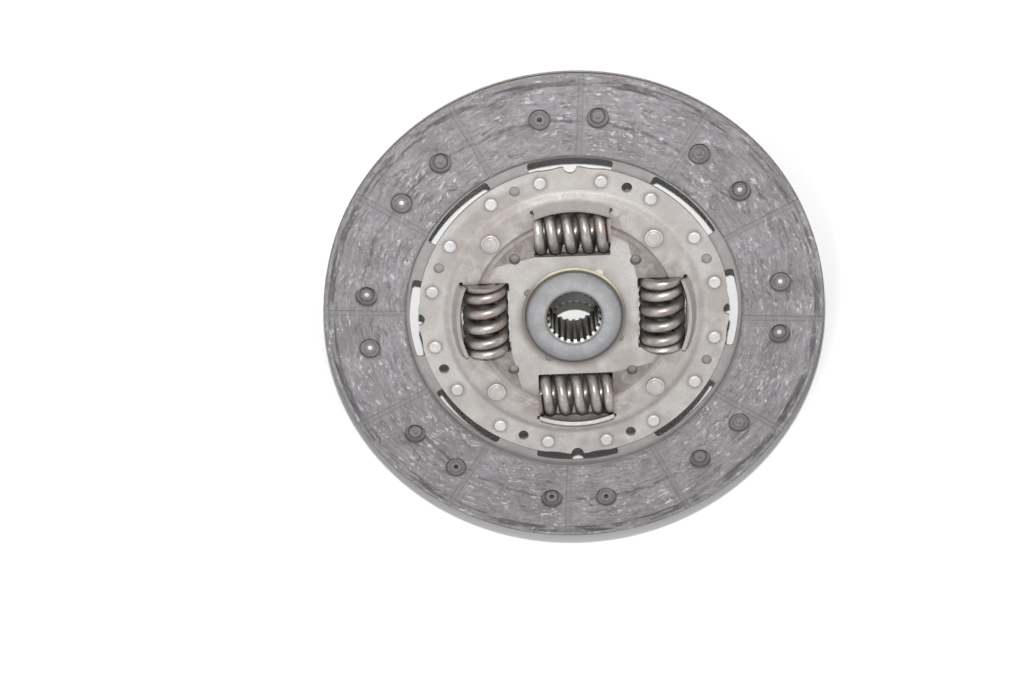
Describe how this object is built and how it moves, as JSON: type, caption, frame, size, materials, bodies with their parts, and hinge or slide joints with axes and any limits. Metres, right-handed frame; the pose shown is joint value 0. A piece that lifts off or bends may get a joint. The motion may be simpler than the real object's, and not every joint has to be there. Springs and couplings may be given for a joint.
{
  "type": "clutch disc",
  "caption": "Dry clutch disc: grey friction facings riveted to a slotted cushion disc, pressed steel cover plate with spring windows, coil damper springs and a splined hub.",
  "frame": {"origin": "centre of the hub's rear end face, on the disc's axis, where the disc stands on a flat surface", "axes": "+Z along the disc's axis, out of the side that faces the flywheel; +X and +Y each run through the middle of a damper spring window"},
  "size_m": [0.24, 0.24, 0.0318],
  "materials": {
    "front_facing": "worn woven friction lining, grey with pale fibres",
    "rear_facing": "worn woven friction lining, grey with pale fibres",
    "cushion_disc": "blue-grey spring steel",
    "front_facing_rivets": "dull tubular rivets",
    "rear_facing_rivets": "dull tubular rivets",
    "cover_plate": "pressed sheet steel, matt pale grey with brown stains",
    "rear_plate": "pressed sheet steel, matt pale grey with brown stains",
    "rim_rivets": "bright zinc-plated rivets",
    "stop_pins": "bright riveted steel pins",
    "splined_hub": "machined blue-grey steel",
    "hub_flange": "hardened pressed steel",
    "front_bush": "yellow-green moulded plastic",
    "rear_bush": "yellow-green moulded plastic",
    "friction_ring": "dark moulded friction ring",
    "pressure_washer": "pressed steel",
    "disc_spring": "hardened spring steel",
    "damper_spring_1": "bronze-grey tempered spring steel",
    "damper_spring_2": "bronze-grey tempered spring steel",
    "damper_spring_3": "bronze-grey tempered spring steel",
    "damper_spring_4": "bronze-grey tempered spring steel"
  },
  "bodies": {
    "hub": {"splined_hub": "splined_hub", "hub_flange": "hub_flange"},
    "disc": {"front_facing": "front_facing", "rear_facing": "rear_facing", "cushion_disc": "cushion_disc", "front_facing_rivets": "front_facing_rivets", "rear_facing_rivets": "rear_facing_rivets", "cover_plate": "cover_plate", "rear_plate": "rear_plate", "rim_rivets": "rim_rivets", "stop_pins": "stop_pins", "front_bush": "front_bush", "rear_bush": "rear_bush", "friction_ring": "friction_ring", "pressure_washer": "pressure_washer", "disc_spring": "disc_spring"},
    "springs": {"damper_spring_1": "damper_spring_1", "damper_spring_2": "damper_spring_2", "damper_spring_3": "damper_spring_3", "damper_spring_4": "damper_spring_4"}
  },
  "joints": [
    {"name": "damper_twist", "type": "hinge", "parent": "hub", "child": "disc", "pos_m": [0, 0, 0.021], "axis": [0, 0, 1], "range_deg": [-7.5, 7.5], "stiffness_Nm_per_rad": 600, "deforming": ["damper_spring_1", "damper_spring_2", "damper_spring_3", "damper_spring_4"]},
    {"name": "spring_follow", "type": "hinge", "parent": "hub", "child": "springs", "pos_m": [0, 0, 0.021], "axis": [0, 0, 1], "range_deg": [-3.75, 3.75]}
  ],
  "couplings": [
    {"joint": "spring_follow", "follows": "damper_twist", "ratio": 0.5}
  ]
}
